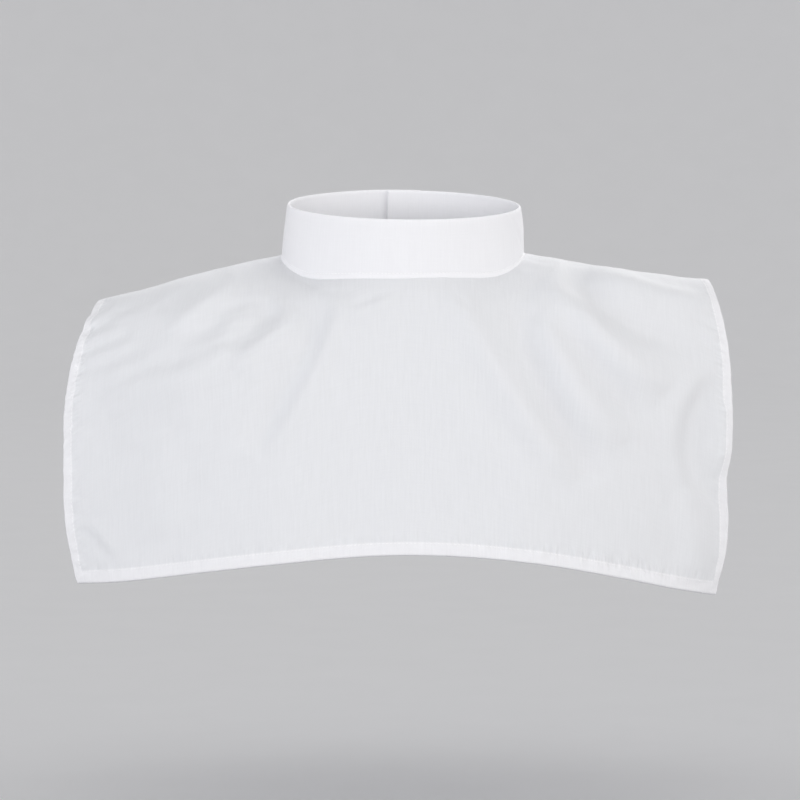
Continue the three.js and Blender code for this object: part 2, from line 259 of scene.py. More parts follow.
# Turns go round the band from the middle of the back, and its ends pass each other there by half the lap
BAND_FIRST = -BAND_OVERLAP / SEAM_HALF_WIDTH / 2
BAND_LAST = 2 * math.pi - BAND_FIRST
LAP_START = 2 * math.pi + BAND_FIRST
END_LINES = (0.0, 0.35, 0.9, 1.7, 3.0)
END_RADIUS = 1.7
BAND_PROFILE = (
    # rise, out from the band's own outer face
    (0.000, 0.06), (0.006, 0.30), (0.020, 0.45), (0.040, 0.48), (0.056, 0.36), (0.068, 0.12),
    (0.080, -0.12), (0.092, -0.16), (0.106, -0.06), (0.140, 0.06), (0.22, 0.14), (0.32, 0.18), (0.42, 0.20),
    (0.52, 0.20), (0.62, 0.18), (0.72, 0.15), (0.81, 0.12), (0.88, 0.08), (0.93, 0.03), (0.962, -0.05),
    (0.982, -0.22), (0.995, -0.48), (1.000, -0.92), (0.996, -1.38), (0.982, -1.68), (0.960, -1.84),
    (0.92, -1.90), (0.80, -1.93), (0.66, -1.94), (0.50, -1.94), (0.34, -1.94), (0.20, -1.92),
    (0.106, -1.88), (0.092, -1.76), (0.080, -1.88), (0.05, -1.92), (0.012, -1.86), (0.0, -1.55),
)

# Soft swells of the band: height, patch size round it and up it, and seed
BAND_SWELLS = (
    (0.28, 46, 40, 51),
    (0.10, 17, 22, 57),
)

# The slanting dent at the wearer's left and the bulge round it: depth and width in millimetres, place round
# the band in radians, and place and reach up it as a share of its height
DENT_DEPTH = -0.9
DENT_TURN = math.pi / 2 + 0.26
DENT_SLANT = 0.42
DENT_WIDTH = 2.6
DENT_RISE = 0.48
DENT_REACH = 0.36
BULGE_HEIGHT = 0.9
BULGE_TURN = math.pi / 2
BULGE_WIDTH = 9
BULGE_RISE = 0.6
BULGE_REACH = 0.3

# The band's unevenness dies away below this share of its height, where the seam holds it
SEAM_CALM = 0.1

# Length, width and height of single stitches; those in rows take their length from the pitch
HEM_STITCH = (0.42, 0.34)
COLLAR_STITCH = (0.40, 0.32)
BUTTONHOLE_STITCH = (1.25, 0.42, 0.36)
BUTTON_THREAD = (4.3, 0.34, 0.5)

# How far the threads lie out from the band's outer face: along the seam, on its outside and its inside, then
# along the ends, round the buttonhole, at its two bars and under the button
SEAM_STITCH_FACES = ((-0.12, 1.0), (-1.78, -1.0))
END_STITCH_OUT = 0.17
BUTTONHOLE_OUT = 0.24
BUTTONHOLE_BAR_OUT = 0.26
BUTTON_OUT = 0.2

# How far the rows lie from the band's ends, the hem's threads out of the cloth and the button off the band
END_STITCH_INSET = 2.6
HEM_THREAD_LIFT = 0.04
BUTTON_GAP = 0.35

# The button's holes, in metres, and the places of its threads beside each other, in millimetres
HOLE_PLACE = 0.0013
HOLE_RADIUS = 0.00085
HOLE_SIDES = ((-1, -1), (-1, 1), (1, -1), (1, 1))
THREAD_BARS = (((-1.3, -1.3), (1.3, 1.3)), ((-1.3, 1.3), (1.3, -1.3)))
THREAD_SHIFTS = (-0.42, -0.14, 0.14, 0.42)

# The UV map with the flat layout, and where the cloth and the band lie in it
FLAT_MAP = "flat"
CLOTH_FLAT_PLACE = 400.0
BAND_FLAT_PLACE = (100.0, 700.0)

# The weave as it is drawn, in millimetres: the spacing of its threads, then the width across the cloth, the
# length along it and the noise's detail of its slubs, finer hairs and thick weft threads
DRAWN_THREAD_SPACING = 0.7
SLUBS = (1.3, 27, 2.5)
HAIRS = (0.6, 11, 1.0)
THICK_WEFT = (19, 1.0, 1.5)
# The puckers of the hems in the same terms, with the weight that says where they lie
PUCKERS = (
    ("hem_pucker", (2.6, 10, 1.0)),
    ("side_pucker", (10, 3.4, 1.0)),
)

# Cells of the noise table, and the shift that keeps places in it above zero
WANDER_CELLS = 256
WANDER_SHIFT = 4 * WANDER_CELLS

# Heights of the stage's floor and of the top of its sweep, in metres, and its plan's radii
FLOOR_Z = -0.375
SWEEP_TOP = 1.5
FLOOR_RADII = (0.4, 2.0, 4.0)
SWEEP_RADIUS = 1.7
STAGE_TURNS = 96
SWEEP_STEPS = 12

# The softboxes, in metres and watts: name, place, width and height, power and tint
LIGHT_AIM = (0.0, 0.0, -0.1)
SOFTBOXES = (
    ("front_softbox", (0.0, -4.5, -0.2), (2.4, 1.6), 110.0, "#ffffff"),
    ("left_softbox", (-3.7, -2.1, 0.0), (2.4, 2.0), 74.0, "#fbfcff"),
    ("right_softbox", (3.7, -2.1, 0.5), (2.4, 2.0), 52.0, "#fffcf8"),
    ("back_softbox", (1.0, 3.6, 1.7), (2.2, 1.6), 86.0, "#ffffff"),
    ("overhead_softbox", (1.2, 0.3, 2.6), (2.0, 2.0), 9.0, "#ffffff"),
)


def linear(code):
    """A hex sRGB colour as linear red, green and blue."""
    parts = [int(code[i:i + 2], 16) / 255 for i in (1, 3, 5)]
    return tuple(c / 12.92 if c <= 0.04045 else ((c + 0.055) / 1.055) ** 2.4 for c in parts)


def clamp01(value):
    return np.clip(value, 0.0, 1.0)


def bell(distance, width):
    return np.exp(-((distance / width) ** 2))


def smooth(value):
    t = clamp01(value)
    return t * t * (3 - 2 * t)


def column(name, across):
    """A smooth curve through one column of the section table."""
    x = SECTIONS[:, 0]
    y = SECTIONS[:, SECTION_COLUMNS.index(name)]
    slope = np.gradient(y, x)
    i = np.clip(np.searchsorted(x, across, side="right") - 1, 0, len(x) - 2)
    width = x[i + 1] - x[i]
    t = (across - x[i]) / width
    start = y[i] * (2 * t**3 - 3 * t**2 + 1) + width * slope[i] * (t**3 - 2 * t**2 + t)
    return start + y[i + 1] * (3 * t**2 - 2 * t**3) + width * slope[i + 1] * (t**3 - t**2)


def side_column(name, across, face):
    return np.where(face < 0, column("front_" + name, across), column("back_" + name, across))


def path(across, face, s):
    """How far a section has gone out and down at the distance s from the crest."""
    steps = (np.arange(QUADRATURE) + 0.5) / QUADRATURE
    at = s[:, None] * steps
    roll = side_column("roll", across, face)[:, None]
    ease = side_column("ease", across, face)[:, None]
    fall = np.radians(side_column("fall", across, face))[:, None]
    more = np.radians(side_column("more", across, face))[:, None] / 200
    angle = fall * (1 - np.exp(-((at / roll) ** ease))) + more * at
    return s * np.cos(angle).mean(1), s * np.sin(angle).mean(1)


def hem_length(across, face):
    """The length of a section from the crest to its hem."""
    tries = np.arange(150.0, 341.0, 2.0)
    lengths = []
    for a in np.atleast_1d(across):
        one = np.full(len(tries), float(a))
        down = path(one, np.full(len(tries), face), tries)[1]
        side = "front" if face < 0 else "back"
        drop = column("crest_z", one)[0] - column(side + "_hem_z", one)[0]
        lengths.append(np.interp(drop, down, tries))
    return np.array(lengths)


LENGTH_KNOTS = np.linspace(-HALF_ACROSS - 6, HALF_ACROSS + 6, 83)
FRONT_LENGTHS = hem_length(LENGTH_KNOTS, -1)
BACK_LENGTHS = hem_length(LENGTH_KNOTS, 1)


def length_at(across, face):
    front = np.interp(across, LENGTH_KNOTS, FRONT_LENGTHS)
    return np.where(face < 0, front, np.interp(across, LENGTH_KNOTS, BACK_LENGTHS))


def smooth_point(across, along):
    """The outer surface before its folds."""
    face = np.where(along < 0, -1, 1)
    s = np.abs(along)
    out, down = path(across, face, s)
    crest_x = column("crest_x", across)
    chest_x = column("chest_x", across)
    reach = column("hem_reach", across)
    outward = 1 - np.exp(-((s / SHOULDER_REACH) ** SHOULDER_EASE))
    inward = clamp01((s - length_at(across, face) + reach) / reach) ** 2
    pull = np.where(face < 0, column("hem_x", across) - chest_x, 0.0)
    x = crest_x + (chest_x - crest_x) * outward + pull * inward
    y = column("crest_y", across) + face * out
    dip = DIP_DEPTH * bell(np.hypot(np.abs(x) - DIP_X, y - DIP_Y), DIP_REACH)
    return np.stack([x, y, column("crest_z", across) - down - dip], 1)


def in_photo(point):
    """Where points stand in the photo, in its pixels."""
    rise = math.radians(CAMERA_RISE)
    across = point[:, 0] - AIM[0]
    forward = (point[:, 1] - AIM[1]) * math.cos(rise) - (point[:, 2] - AIM[2]) * math.sin(rise)
    upward = (point[:, 1] - AIM[1]) * math.sin(rise) + (point[:, 2] - AIM[2]) * math.cos(rise)
    scale = CAMERA_DISTANCE / (CAMERA_DISTANCE + forward) / MM_PER_PIXEL
    return PICTURE_WIDTH / 2 + across * scale, PICTURE_WIDTH / 2 - upward * scale


def fold_height(rows, x, down):
    """How far the folds in a table stand out at points of the picture."""
    total = np.zeros_like(x)
    for from_x, from_down, to_x, to_down, bow, width, height in rows:
        run_x, run_down = to_x - from_x, to_down - from_down
        length = math.hypot(run_x, run_down)
        run_x, run_down = run_x / length, run_down / length
        dx, dd = x - from_x, down - from_down
        onward = dx * run_x + dd * run_down
        t = clamp01(onward / length)
        sideways = dx * run_down - dd * run_x - bow * 4 * t * (1 - t)
        taper = 1 - np.abs(2 * t - 1) ** 4
        total += height * taper * bell(np.hypot(sideways, onward - t * length), width)
    return total


def folds_at(point, face):
    """How far the folds of the front and the back stand out at points of the cloth."""
    front = fold_height(FRONT_FOLDS, *in_photo(point))
    back = fold_height(BACK_FOLDS, point[:, 0], -point[:, 2])
    return np.where(face < 0, front, back)


def wander(u, v, size_u, size_v, seed):
    """Smooth gradient noise from about -1 to 1, whose patches are size_u by size_v."""
    angle = np.random.default_rng(seed).uniform(0, 2 * math.pi, (WANDER_CELLS, WANDER_CELLS))
    u, v = u / size_u + WANDER_SHIFT, v / size_v + WANDER_SHIFT
    i, j = np.floor(u).astype(int), np.floor(v).astype(int)
    fu, fv = u - i, v - j

    def corner(di, dj):
        turn = angle[(i + di) % WANDER_CELLS, (j + dj) % WANDER_CELLS]
        return np.cos(turn) * (fu - di) + np.sin(turn) * (fv - dj)

    su, sv = smooth(fu), smooth(fv)
    low = corner(0, 0) * (1 - su) + corner(1, 0) * su
    high = corner(0, 1) * (1 - su) + corner(1, 1) * su
    return 1.5 * (low * (1 - sv) + high * sv)


def hem_inset(across, along, face):
    """The distances from the side edge and from the hem below, over the flat cloth."""
    return HALF_ACROSS - np.abs(across), length_at(across, face) - np.abs(along)


def wrinkles(across, along, face, x, z):
    """The cloth's own small unevenness, and the puckers that its stitching draws up."""
    side_in, hem_in = hem_inset(across, along, face)
    calm = 0.45 + 0.55 * smooth((np.abs(across) - 20) / 80)
    total = calm * sum(height * wander(across, along, *patch) for height, *patch in RUMPLES)

    # Slight creases that run out from the neck over both shoulders
    from_neck = np.hypot(x, z + 4)
    bearing = np.degrees(np.arctan2(-z - 4, np.abs(x)))
    creased = bell(bearing - 30, 24) * smooth((from_neck - 70) / 40) * np.where(x < 0, 1.0, 0.6)
    creases = wander(bearing, from_neck + 3 * bearing, *CREASE_PATCH)
    creases += 0.6 * wander(bearing, from_neck, *FINE_CREASE_PATCH)
    total += NECK_CREASE * creases * creased

    # The side hems, most of all over the shoulder at the wearer's right
    drawn = np.where(across < 0, 1.0, 0.6) * (0.35 + 0.65 * bell(z + 72, 34))
    ripple = wander(along + 0.7 * side_in, side_in, *SIDE_RIPPLE_PATCH)
    near_side = bell(side_in - 5.5, 8)
    total += SIDE_RIPPLE * drawn * ripple * near_side

    # The hem below, most of all at the wearer's left in front
    drawn = 0.45 + 0.55 * bell(across - 138, 46)
    ripple = wander(across + 0.2 * hem_in, hem_in, *BOTTOM_RIPPLE_PATCH)
    near_hem = bell(hem_in - 9, 7)
    total += BOTTOM_RIPPLE * drawn * ripple * near_hem

    # The seam under the collar draws the cloth into short puckers that fan out from it
    fan = np.degrees(np.arctan2(x, np.where(face < 0, -1, 1) * (np.abs(along) + 20)))
    gathered = wander(fan, np.full_like(fan, 2.0), *SEAM_PUCKER_PATCH)
    from_seam = seam_distance(x, y_of(across, along))
    total += SEAM_PUCKER * gathered * bell(from_seam - 4, 13)
    return total


def y_of(across, along):
    """How far forward or back points of the cloth lie, before the folds."""
    face = np.where(along < 0, -1, 1)
    out, _ = path(across, face, np.abs(along))
    return column("crest_y", across) + face * out


def seam_distance(x, y):
    """About how far outside the neck seam's ellipse points of the plan lie."""
    return (np.hypot(x / SEAM_HALF_WIDTH, y / SEAM_HALF_DEPTH) - 1) * SEAM_HALF_DEPTH


def hem_relief(side_in, hem_in, side_hem, bottom_hem):
    """The turned hem stands a little proud of the field, with a groove along its stitching."""
    relief = np.zeros_like(side_in)
    for inset, hem in ((side_in, side_hem), (hem_in, bottom_hem)):
        stand = HEM_STAND * smooth((hem + 0.6 - inset) / 1.2)
        stand -= STITCH_GROOVE * bell(inset - hem + STITCH_INSET, 0.7)
        relief = np.where(np.abs(stand) > np.abs(relief), stand, relief)
    return relief


def surface_slopes(surface, across, along, step):
    """A surface's directions across and along, and its outward normals."""
    sideways = surface(across + step, along) - surface(across - step, along)
    onward = surface(across, along + step) - surface(across, along - step)
    normal = np.cross(sideways, onward)
    return sideways, onward, normal / np.linalg.norm(normal, axis=1)[:, None]


def cloth_point(across, along, lift=True):
    """The outer surface with its folds, in millimetres; lift adds the small creases and the hems' relief."""
    point = smooth_point(across, along)
    normal = surface_slopes(smooth_point, across, along, SLOPE_STEP)[2]
    face = np.where(along < 0, -1, 1)
    fade = clamp01(seam_distance(point[:, 0], point[:, 1]) / SEAM_FADE) * clamp01(np.abs(along) / CREST_FADE)
    height = fade * folds_at(point, face)
    if lift:
        settings = bpy.context.scene.amice_cloth
        side_in, hem_in = hem_inset(across, along, face)
        height += wrinkles(across, along, face, point[:, 0], point[:, 2])
        height += hem_relief(side_in, hem_in, settings.side_hem / MM, settings.bottom_hem / MM)
    point += normal * height[:, None]
    for side, middle_z, reach, shift in EDGE_WAVES:
        depth = bell(HALF_ACROSS - across * side, EDGE_WAVE_DEPTH)
        wave = side * shift * depth * bell(point[:, 2] - middle_z, reach)
        point[:, 0] += np.where(face < 0, wave, 0.0)
    return point


def unfold(x, y, turns=8):
    """The place on the flat cloth that lies over points of the plan, near the neck."""
    across, along = x.copy(), y - column("crest_y", x)
    for _ in range(turns):
        point = cloth_point(across, along, lift=False)
        across += x - point[:, 0]
        along += y - point[:, 1]
    return across, along


def cloth_top(x, y):
    """The height of the cloth over points of the plan, near the neck."""
    across, along = unfold(x, y)
    return cloth_point(across, along, lift=False)[:, 2]


def on_seam(turn, out):
    """The plan of the neck seam, out from it by a distance; turn goes round from the middle of the back."""
    return (SEAM_HALF_WIDTH + out) * np.sin(turn), (SEAM_HALF_DEPTH + out) * np.cos(turn)


SEAM_TURNS = np.linspace(0, 2 * math.pi, 361)
SEAM_OUTS = np.linspace(-6, 8, 8)
SEAM_GRID = [grid.ravel() for grid in np.meshgrid(SEAM_TURNS, SEAM_OUTS, indexing="ij")]
SEAM_HEIGHTS = cloth_top(*on_seam(*SEAM_GRID)).reshape(len(SEAM_TURNS), len(SEAM_OUTS))


def seam_height(turn, out):
    """The cloth's height round the neck seam, out from it by a distance."""
    i = (turn % (2 * math.pi)) / SEAM_TURNS[1]
    j = np.clip((out - SEAM_OUTS[0]) / (SEAM_OUTS[1] - SEAM_OUTS[0]), 0, len(SEAM_OUTS) - 1.001)
    a, b = np.minimum(i.astype(int), len(SEAM_TURNS) - 2), j.astype(int)
    fa, fb = i - a, j - b
    low = SEAM_HEIGHTS[a, b] * (1 - fa) + SEAM_HEIGHTS[a + 1, b] * fa
    high = SEAM_HEIGHTS[a, b + 1] * (1 - fa) + SEAM_HEIGHTS[a + 1, b + 1] * fa
    return low * (1 - fb) + high * fb


def spaced(start, end, step):
    """Even stations from start to end, about a step apart."""
    count = max(1, round((end - start) / step))
    return list(np.linspace(start, end, count + 1))


def put(name, verts, faces, uvs=None, **weights):
    """A mesh object from points in millimetres, with its flat layout as UVs and weights at its points."""
    mesh = bpy.data.meshes.new(name)
    mesh.from_pydata((np.asarray(verts) * MM).tolist(), [], faces)
    mesh.validate()
    if uvs is not None:
        layer = mesh.uv_layers.new(name=FLAT_MAP)
        corners = np.zeros(len(mesh.loops), dtype=np.int32)
        mesh.loops.foreach_get("vertex_index", corners)
        layer.data.foreach_set("uv", (np.asarray(uvs)[corners] * MM).astype(np.float32).ravel())
    for weight, values in weights.items():
        attribute = mesh.attributes.new(weight, "FLOAT", "POINT")
        attribute.data.foreach_set("value", np.asarray(values, dtype=np.float32))
    mesh.polygons.foreach_set("use_smooth", [True] * len(mesh.polygons))
    mesh.update()
    piece = bpy.data.objects.new(name, mesh)
    bpy.context.scene.collection.objects.link(piece)
    return piece


def finish_piece(piece, material, slot, *nodes):
    """Gives a piece its material and its body, and hides the CAD nodes that it stands for."""
    piece.data.materials.clear()
    piece.data.materials.append(material)
    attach(piece, "root")
    if nodes:
        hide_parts(*nodes)
    return piece


def add_node(tree, kind, settings=None, links=None):
    """Adds a shader node, with its settings and the links to its inputs."""
    node = tree.nodes.new(kind)
    for name, value in (settings or {}).items():
        if name in node.inputs:
            node.inputs[name].default_value = value
        else:
            setattr(node, name, value)
    for name, source in (links or {}).items():
        tree.links.new(source, node.inputs[name])
    return node


def new_material(name):
    material = bpy.data.materials.new(name)
    material.use_nodes = True
    material.node_tree.nodes.clear()
    return material, material.node_tree


def per_metre(size_mm):
    return 1000.0 / size_mm


def woven_cotton(name, thin, thick, slub_depth):
    """Bleached plain-weave cotton blend: matt, with slubs that run along the warp as fine upright streaks.

    Thin is the colour of one ply, which is a little greyer, and thick that of a hem or band of several plies.
    The threads are 0.25 mm apart in such cloth; they are drawn coarser so that a close look shows them.
    """
    material, tree = new_material(name)
    uv = add_node(tree, "ShaderNodeUVMap", {"uv_map": FLAT_MAP}).outputs["UV"]

    def streaks(across_mm, along_mm, detail):
        scale = (per_metre(across_mm), per_metre(along_mm), 1.0)
        mapping = add_node(tree, "ShaderNodeMapping", {"Scale": scale}, {"Vector": uv})
        texture = {"Scale": 1.0, "Detail": detail, "Roughness": 0.55}
        return add_node(tree, "ShaderNodeTexNoise", texture, {"Vector": mapping.outputs[0]}).outputs["Fac"]

    def math_node(operation, *sources):
        node = add_node(tree, "ShaderNodeMath", {"operation": operation})
        for index, source in enumerate(sources):
            if isinstance(source, (int, float)):
                node.inputs[index].default_value = source
            else:
                tree.links.new(source, node.inputs[index])
        return node.outputs[0]

    slubs = math_node("MULTIPLY", streaks(*SLUBS), 0.5)
    hairs = math_node("MULTIPLY", streaks(*HAIRS), 0.25)
    weft = math_node("MULTIPLY", streaks(*THICK_WEFT), 0.25)
    tone = math_node("ADD", math_node("ADD", slubs, hairs), weft)
    steady = math_node("ADD", math_node("MULTIPLY", math_node("SUBTRACT", tone, 0.5), slub_depth), 0.93)

    # The short puckers that the stitching draws up across the hems, about 3 mm from one to the next. They go
    # into the bump, and their swell is also painted into the colour as shade and highlight.
    puckers = 0.0
    for weight, pattern in PUCKERS:
        drawn = add_node(tree, "ShaderNodeAttribute", {"attribute_name": weight}).outputs["Fac"]
        swell = math_node("SUBTRACT", streaks(*pattern), 0.5)
        puckers = math_node("ADD", math_node("MULTIPLY", swell, drawn), puckers)
    # Painted shade and highlight: the puckers' swell lightens and darkens the base colour
    steady = math_node("ADD", steady, math_node("MULTIPLY", puckers, 0.30))

    plies = add_node(tree, "ShaderNodeAttribute", {"attribute_name": "plies"}).outputs["Fac"]
    white = add_node(tree, "ShaderNodeMix", {"data_type": "RGBA"}, {"Factor": plies})
    white.inputs[6].default_value = (*linear(thin), 1)
    white.inputs[7].default_value = (*linear(thick), 1)
    shaded = add_node(tree, "ShaderNodeMix", {"data_type": "RGBA", "blend_type": "MULTIPLY"})
    shaded.inputs["Factor"].default_value = 1.0
    tree.links.new(white.outputs[2], shaded.inputs[6])
    tree.links.new(steady, shaded.inputs[7])

    separate = add_node(tree, "ShaderNodeSeparateXYZ", None, {"Vector": uv})
    pitch = 2 * math.pi * per_metre(DRAWN_THREAD_SPACING)
    warp = math_node("SINE", math_node("MULTIPLY", separate.outputs["X"], pitch))
    fill = math_node("SINE", math_node("MULTIPLY", separate.outputs["Y"], pitch))
    weave = math_node("MULTIPLY", warp, fill)
    relief = math_node("ADD", math_node("MULTIPLY", weave, 0.18), math_node("MULTIPLY", puckers, 13.0))
    relief = math_node("ADD", relief, tone)
    bump = add_node(tree, "ShaderNodeBump", {"Strength": 0.55, "Distance": 0.00022}, {"Height": relief})

    shader = add_node(tree, "ShaderNodeBsdfPrincipled", {
        "Roughness": 0.86, "Specular IOR Level": 0.32, "Sheen Weight": 0.12, "Sheen Roughness": 0.45,
    }, {"Base Color": shaded.outputs[2], "Normal": bump.outputs[0]})
    add_node(tree, "ShaderNodeOutputMaterial", None, {"Surface": shader.outputs[0]})
    return material


def clouded_material(name, texture, tones, surface, bump_depth=0.0):
    """A material whose tone drifts between two colours over the piece, with a relief to match if asked."""
    material, tree = new_material(name)
    place = add_node(tree, "ShaderNodeTexCoord").outputs["Object"]
    cloud = add_node(tree, "ShaderNodeTexNoise", texture, {"Vector": place}).outputs["Fac"]
    ramp = add_node(tree, "ShaderNodeValToRGB", None, {"Fac": cloud})
    for stop, tone in zip(ramp.color_ramp.elements, tones):
        stop.color = (*tone, 1)
    links = {"Base Color": ramp.outputs[0]}
    if bump_depth:
        bump = add_node(tree, "ShaderNodeBump", {"Strength": 0.4, "Distance": bump_depth}, {"Height": cloud})
        links["Normal"] = bump.outputs[0]
    shader = add_node(tree, "ShaderNodeBsdfPrincipled", surface, links)
    add_node(tree, "ShaderNodeOutputMaterial", None, {"Surface": shader.outputs[0]})
    return material


def polyester_thread():
    """Spun polyester sewing thread: white, a little brighter and glossier than the cloth it sinks into."""
    return clouded_material(
        "polyester_thread", {"Scale": per_metre(1.4), "Detail": 2.0}, (linear("#e4e4e8"), linear("#fafafa")),
        {"Roughness": 0.55, "Specular IOR Level": 0.45, "Sheen Weight": 0.1}, bump_depth=0.0001)


def cast_polyester():
    """A cast polyester shirt button: milky white with a faint pearly cloud, polished."""
    return clouded_material(
        "cast_polyester_button", {"Scale": per_metre(4.0), "Detail": 3.0, "Distortion": 1.2},
        (linear("#e6e4de"), linear("#fbfaf6")),
        {"Roughness": 0.22, "IOR": 1.54, "Coat Weight": 0.3, "Coat Roughness": 0.1})


def painted_stage(colour):
    """A matt painted floor that sweeps up behind: pale grey, faintly mottled as rolled paint is."""
    tones = [[min(1.0, part * share) for part in colour] for share in (0.985, 1.015)]
    return clouded_material(
        "matt_studio_paint", {"Scale": per_metre(60.0), "Detail": 3.0}, tones, {"Roughness": 0.9})


def material_of(name, make):
    """The named material, made once."""
    return bpy.data.materials.get(name) or make()


def cloth_white():
    finish = bpy.context.scene.amice_finish
    return material_of("bleached_cotton", lambda: woven_cotton(
        "bleached_cotton", "#e2e3e6", "#ebebee", finish.slub_depth))


def band_white():
    finish = bpy.context.scene.amice_finish
    return material_of("folded_cotton_band", lambda: woven_cotton(
        "folded_cotton_band", "#eaeaed", "#f1f1f4", finish.slub_depth * 0.7))


def thread_white():
    return material_of("polyester_thread", polyester_thread)


class AmiceCloth(bpy.types.PropertyGroup):
    wall: FloatProperty(
        name="Cloth wall", description="Thickness of the cloth between its hems",
        default=0.0008, min=0.0002, unit="LENGTH")
    hem_wall: FloatProperty(
        name="Hem wall", description="Thickness of the turned hems",
        default=0.0019, min=0.0004, unit="LENGTH")
    side_hem: FloatProperty(
        name="Side hem", description="Width of the hems at the two sides",
        default=0.007, min=0.003, unit="LENGTH")
    bottom_hem: FloatProperty(
        name="Bottom hem", description="Width of the hems at the front and the back",
        default=0.0083, min=0.003, unit="LENGTH")
    step: FloatProperty(
        name="Mesh step", description="Distance between the columns of the cloth's mesh",
        default=0.0024, min=0.001, unit="LENGTH")
    stitch: FloatProperty(
        name="Stitch length", description="Length of one stitch with the gap after it",
        default=0.0026, min=0.001, unit="LENGTH")


class AmiceCollar(bpy.types.PropertyGroup):
    seam_stitch_height: FloatProperty(
        name="Seam stitching", description="Height of the stitching above the collar's seam",
        default=0.0034, min=0.001, unit="LENGTH")
    steps: IntProperty(
        name="Steps round", description="Number of mesh steps round the band",
        default=330, min=60)
    buttonhole: FloatProperty(
        name="Buttonhole", description="Length of the buttonhole",
        default=0.0135, min=0.008, unit="LENGTH")


class AmiceButton(bpy.types.PropertyGroup):
    radius: FloatProperty(
        name="Radius", description="Radius of the button", default=0.00575, min=0.003, unit="LENGTH")
    wall: FloatProperty(
        name="Thickness", description="Thickness of the button at its rim",
        default=0.0025, min=0.001, unit="LENGTH")


class AmiceFinish(bpy.types.PropertyGroup):
    slub_depth: FloatProperty(
        name="Slub depth", description="How strongly the slubs of the weave show",
        default=0.14, min=0.0, max=1.0, subtype="FACTOR")
    stage: FloatVectorProperty(
        name="Stage", description="Colour of the floor and the backdrop",
        default=linear("#f0f0f1"), size=3, subtype="COLOR", min=0.0, max=1.0)


def border_edges(faces):
    """The directed edges of a set of faces that no other face shares."""
    directed = dict.fromkeys(edge for face in faces for edge in zip(face, face[1:] + face[:1]))
    return [(a, b) for a, b in directed if (b, a) not in directed]


def closed_shell(outer, faces, walls, normals):
    """Outer faces, the same faces a wall's thickness inside, and rims between them that bulge outward."""
    count = len(outer)
    inner = outer - normals * walls[:, None]
    verts = [outer, inner]
    shell = [tuple(face) for face in faces]
    shell += [tuple(i + count for i in reversed(face)) for face in faces]
    edges = border_edges(faces)
    outward = np.zeros_like(outer)
    for a, b in edges:
        run = outer[b] - outer[a]
        away = np.cross(run, normals[a] + normals[b])
        size = np.linalg.norm(away)
        if size > 1e-9:
            outward[a] += away / size
            outward[b] += away / size
    rim = sorted({i for edge in edges for i in edge})
    place = {vertex: 2 * count + k for k, vertex in enumerate(rim)}
    size = np.linalg.norm(outward[rim], axis=1)
    size[size < 1e-9] = 1.0
    push = outward[rim] / size[:, None] * (walls[rim] * EDGE_BULGE)[:, None]
    verts.append((outer[rim] + inner[rim]) / 2 + push)
    for a, b in edges:
        shell.append((b, a, place[a], place[b]))
        shell.append((place[b], place[a], a + count, b + count))
    return np.vstack(verts), shell, rim


def turned_ply(hem, inset):
    """One where the cloth is turned under, and zero past the hem's inner edge."""
    return smooth((hem + 0.3 - inset) / 0.8)


def mesh_lines(step, side_hem, bottom_hem):
    """Places of the mesh's lines across the flat cloth and, for each, along it.

    They crowd beside the inner edges of the hems and at the edge of the cloth.
    """
    side_insets = [side_hem + d for d in HEM_LINES] + [side_hem - 2.4, 3.0, 1.6, 0.7, 0.0]
    insets = np.array([bottom_hem + d for d in HEM_LINES] + [bottom_hem - 2.6, 4.2, 2.4, 1.0, 0.0])
    half = [SLIT_HALF, *spaced(SLIT_HALF + 2.2, HALF_ACROSS - side_hem - FIELD_MARGIN, step)]
    half += [HALF_ACROSS - inset for inset in side_insets]
    across_list = np.array([-a for a in reversed(half)] + half)
    counts = ((-1, round(FRONT_RUN / (step * FRONT_ROW))), (1, round(BACK_RUN / (step * BACK_ROW))))
    along = []
    for a in across_list:
        stations = []
        for face, count in counts:
            length = float(length_at(np.array([a]), face)[0])
            field = np.linspace(0, length - (bottom_hem + FIELD_MARGIN), count + 1)
            stations.append([*field, *(length - insets)])
        along.append([-s for s in reversed(stations[0])] + stations[1][1:])
    return across_list, np.array(along)


def neck_share(point, across):
    """How far points lie from the neck's middle, as a share of the way to the edge of its opening."""
    near_neck = (np.abs(across) < NECK_REACH) & (point[:, 2] > NECK_FLOOR)
    share = np.hypot(point[:, 0] / (SEAM_HALF_WIDTH - BAND_WALL), point[:, 1] / (SEAM_HALF_DEPTH - BAND_WALL))
    return np.where(near_neck, share, np.inf)


def open_faces(across_list, rows, point, share):
    """The mesh's faces, without those inside the neck opening and those of the slit."""
    faces = []
    for i in range(len(across_list) - 1):
        in_slit = abs(across_list[i] + SLIT_HALF) < 1e-6
        for j in range(rows - 1):
            a = i * rows + j
            corners = [a, a + 1, a + rows + 1, a + rows]
            if all(share[c] < 1.0 for c in corners):
                continue
            if in_slit and point[a, 1] > 0 and point[a + 1, 2] > SLIT_BOTTOM:
                continue
            faces.append(corners[::-1])
    return faces


def point_normals(points, faces):
    """The normals of a surface at its points."""
    probe = bpy.data.meshes.new("probe")
    probe.from_pydata(points.tolist(), [], faces)
    normals = np.zeros(len(points) * 3)
    probe.vertex_normals.foreach_get("vector", normals)
    bpy.data.meshes.remove(probe)
    return normals.reshape(-1, 3)


